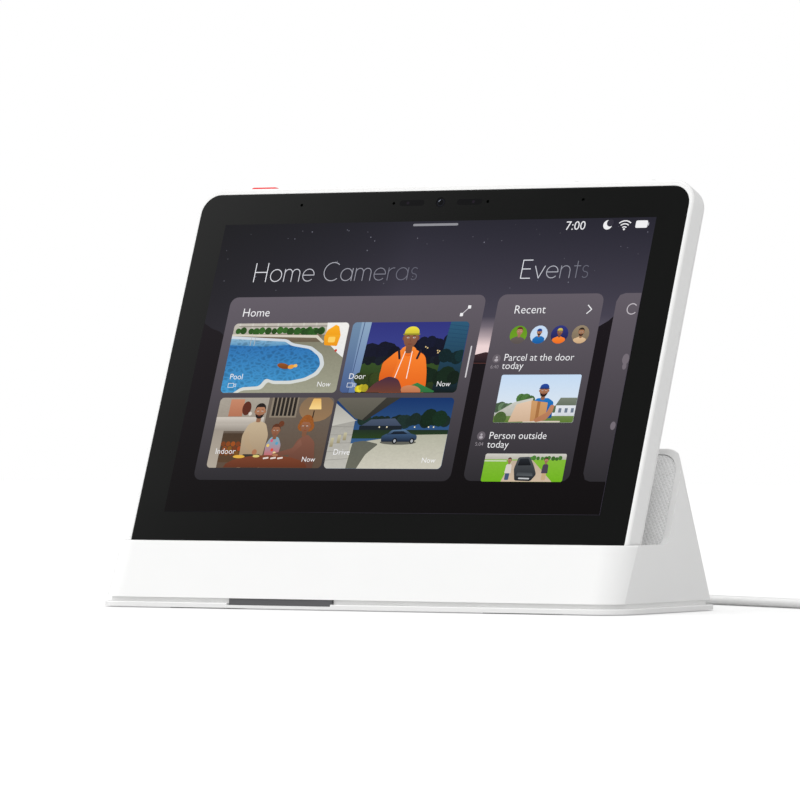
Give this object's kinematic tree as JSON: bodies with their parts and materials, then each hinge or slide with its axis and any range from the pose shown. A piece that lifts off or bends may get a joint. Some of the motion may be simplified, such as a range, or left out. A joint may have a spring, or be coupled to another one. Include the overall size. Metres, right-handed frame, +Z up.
{
  "type": "smart home hub",
  "caption": "Touch tablet leaning in a white wedge-backed charging dock, with a textured panel behind it, press buttons on its top edge and a thin lead out of the back.",
  "frame": {"origin": "centre of the dock footprint on the surface that the feet stand on", "axes": "+X to the right of someone facing the screen, +Y to the back, +Z up"},
  "size_m": [0.2886, 0.1733, 0.146],
  "materials": {
    "white_shell": "satin moulded",
    "white_key": "satin moulded",
    "red_key": "satin red",
    "textured_panel": "fine woven texture",
    "rest_block": "satin moulded",
    "soft_rubber": "matt",
    "cover_glass": "polished, black printed border",
    "lens_glass": "polished",
    "black_adhesive": "foam tape",
    "display_glass": "smooth",
    "light_guide": "clear sheet",
    "led_white": "clear",
    "tray_steel": "rolled sheet",
    "battery_wrap": "foil wrap",
    "circuit_board": "solder mask",
    "chip_black": "moulded",
    "screw_steel": "zinc plated",
    "speaker_black": "moulded",
    "speaker_cone": "smooth",
    "antenna_film": "film",
    "gold_contact": "gold plated",
    "light_diffuser": "smoked, unlit",
    "cord_white": "smooth jacket",
    "tie_white": "strap",
    "plug_steel": "nickel plated"
  },
  "bodies": {
    "dock": {"dock_housing": "white_shell", "dock_base_plate": "white_shell", "grille_panel": "textured_panel", "tablet_rest": "rest_block", "rest_pad": "soft_rubber", "slot_liner": "soft_rubber", "rubber_feet": "soft_rubber", "dock_speakers": "tray_steel", "power_socket": "tray_steel", "dock_board": "circuit_board", "light_board": "circuit_board", "pogo_block": "chip_black", "base_screws": "screw_steel", "dock_board_screws": "screw_steel", "pogo_springs": "screw_steel", "ballast_plate": "screw_steel", "dock_speaker_cones": "speaker_cone", "status_light_bar": "light_diffuser"},
    "tablet": {"cover_glass": "cover_glass", "glass_glue": "black_adhesive", "mid_frame": "white_shell", "back_cover": "white_shell", "lcd_panel": "display_glass", "backlight_unit": "light_guide", "led_strip": "led_white", "display_tray": "tray_steel", "battery_pack": "battery_wrap", "main_board": "circuit_board", "board_screws": "screw_steel", "chips": "chip_black", "shield_cans": "tray_steel", "tablet_speakers": "speaker_black", "tablet_speaker_cones": "speaker_cone", "wifi_antennas": "antenna_film", "camera_module": "chip_black", "camera_lens": "lens_glass", "sensor_windows": "chip_black", "microphones": "chip_black", "button_switches": "chip_black", "button_boards": "circuit_board", "charge_contacts": "gold_contact", "contact_block": "chip_black", "display_flex": "antenna_film"},
    "sos_key": {"sos_button": "red_key"},
    "power_key": {"power_button": "white_key"},
    "volume_key": {"volume_rocker": "white_key"},
    "charge_pins": {"pogo_pins": "gold_contact"},
    "cable": {"plug_tip": "plug_steel", "plug_body": "cord_white", "power_cord": "cord_white", "cord_coil": "cord_white", "cord_tie": "tie_white", "far_plug_body": "cord_white", "far_plug_shell": "plug_steel"}
  },
  "joints": [
    {"name": "tablet_lift", "type": "slide", "parent": "dock", "child": "tablet", "axis": [0, 0.3691, 0.9294], "range_m": [0, 0.15]},
    {"name": "sos_press", "type": "slide", "parent": "tablet", "child": "sos_key", "axis": [0, -0.3691, -0.9294], "range_m": [0, 0.0005], "stiffness_N_per_m": 800},
    {"name": "power_press", "type": "slide", "parent": "tablet", "child": "power_key", "axis": [0, -0.3691, -0.9294], "range_m": [0, 0.0005], "stiffness_N_per_m": 800},
    {"name": "volume_rock", "type": "hinge", "parent": "tablet", "child": "volume_key", "pos_m": [0.0375, 0.02914, 0.14086], "axis": [0, 0.9294, -0.3691], "range_deg": [-1.5, 1.5], "stiffness_Nm_per_rad": 0.4},
    {"name": "charge_pins_press", "type": "slide", "parent": "dock", "child": "charge_pins", "axis": [0, -0.3691, -0.9294], "range_m": [0, 0.0008], "stiffness_N_per_m": 400},
    {"name": "cable_unplug", "type": "slide", "parent": "dock", "child": "cable", "axis": [0, 1, 0], "range_m": [0, 0.012]}
  ]
}
